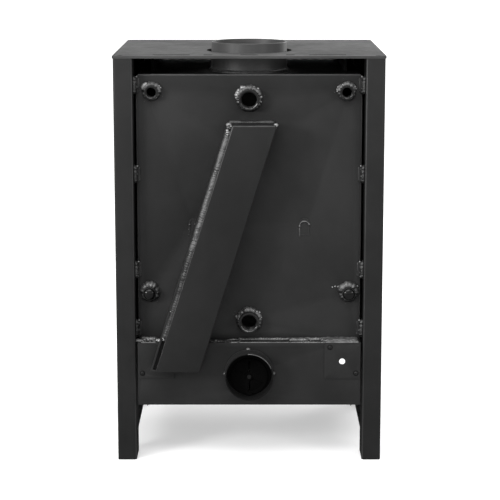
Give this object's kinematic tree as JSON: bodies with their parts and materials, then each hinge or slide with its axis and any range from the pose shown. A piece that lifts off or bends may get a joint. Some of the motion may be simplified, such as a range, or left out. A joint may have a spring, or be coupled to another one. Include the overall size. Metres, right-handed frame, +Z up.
{
  "type": "hydronic wood stove",
  "caption": "Free-standing steel wood stove with a water jacket, flue collar, water sockets, sloping rear air channel, glazed door and ash drawer.",
  "frame": {"origin": "on the floor, under the middle of the whole stove's box", "axes": "+Z up, +Y towards the rear with the water sockets, the glazed door faces -Y, +X to the right as seen from the front"},
  "size_m": [0.5226, 0.5426, 0.8175],
  "materials": {
    "casing_black": "heat-resistant satin black paint",
    "top_plate_grey": "satin graphite paint",
    "boiler_black": "satin black paint over rolled steel",
    "collar_grey": "satin graphite paint",
    "weld_bead": "painted rough weld",
    "plug_black": "glossy black",
    "zinc": "zinc-plated steel",
    "firebox_steel": "bare rolled steel, darkened",
    "cast_grate": "raw casting",
    "firebrick": "pressed vermiculite board",
    "control_steel": "satin black paint",
    "door_cast": "cast iron with satin black paint",
    "door_glass": "dark ceramic glass",
    "rope": "braided glass-fibre rope",
    "handle_iron": "satin black",
    "pan_steel": "galvanised sheet"
  },
  "bodies": {
    "stove_body": {"left_side_casing": "casing_black", "right_side_casing": "casing_black", "top_plate": "top_plate_grey", "top_plate_screws": "zinc", "top_plate_rails": "boiler_black", "rear_boiler_plate": "boiler_black", "boiler_shell": "boiler_black", "firebox_shell": "firebox_steel", "jacket_rings": "boiler_black", "flue_passage": "boiler_black", "front_frame": "boiler_black", "jacket_stays": "boiler_black", "casing_tabs": "boiler_black", "flue_collar": "collar_grey", "collar_weld": "weld_bead", "flow_socket": "boiler_black", "return_socket": "boiler_black", "upper_corner_sockets": "boiler_black", "lower_corner_sockets": "boiler_black", "socket_plugs": "plug_black", "socket_welds": "weld_bead", "air_channel": "boiler_black", "channel_weld": "weld_bead", "channel_cap_welds": "weld_bead", "air_passage": "boiler_black", "rear_base_panel": "casing_black", "seam_weld": "weld_bead", "ash_box": "casing_black", "front_base_panel": "casing_black", "air_inlet_spigot": "boiler_black", "spigot_tack_welds": "weld_bead", "shutter_screw": "zinc", "left_cover_plate": "casing_black", "right_cover_plate": "casing_black", "cover_screws": "zinc", "hearth_plate": "firebox_steel", "grate": "cast_grate", "side_bricks": "firebrick", "rear_bricks": "firebrick", "log_guard": "firebox_steel", "baffle_plate": "firebrick", "baffle_studs": "firebox_steel", "front_fascia": "casing_black", "slider_guides": "control_steel", "hinge_brackets": "casing_black", "hinge_pins": "zinc"},
    "door": {"door_frame": "door_cast", "door_glass": "door_glass", "glass_gasket": "rope", "glass_clips": "zinc", "door_rope_seal": "rope"},
    "door_handle": {"door_lever": "handle_iron", "latch_tongue": "zinc"},
    "ash_drawer": {"ash_pan": "pan_steel", "ash_drawer_front": "casing_black", "ash_drawer_handle": "handle_iron", "primary_guides": "control_steel"},
    "primary_control": {"primary_slider": "control_steel"},
    "secondary_control": {"secondary_slider": "control_steel"},
    "inlet_shutter": {"air_shutter": "cast_grate"}
  },
  "joints": [
    {"name": "door_swing", "type": "hinge", "parent": "stove_body", "child": "door", "pos_m": [-0.205, -0.21925, 0.492], "axis": [0, 0, -1], "range_deg": [0, 110]},
    {"name": "latch_turn", "type": "hinge", "parent": "door", "child": "door_handle", "pos_m": [0.176, -0.20525, 0.492], "axis": [0, -1, 0], "range_deg": [0, 50]},
    {"name": "ash_drawer_slide", "type": "slide", "parent": "stove_body", "child": "ash_drawer", "axis": [0, -1, 0], "range_m": [0, 0.24]},
    {"name": "primary_air_slide", "type": "slide", "parent": "ash_drawer", "child": "primary_control", "axis": [1, 0, 0], "range_m": [0, 0.009]},
    {"name": "secondary_air_slide", "type": "slide", "parent": "stove_body", "child": "secondary_control", "axis": [1, 0, 0], "range_m": [0, 0.02]},
    {"name": "shutter_turn", "type": "hinge", "parent": "stove_body", "child": "inlet_shutter", "pos_m": [0, 0.23025, 0.171], "axis": [0, -1, 0], "range_deg": [0, 62]}
  ]
}
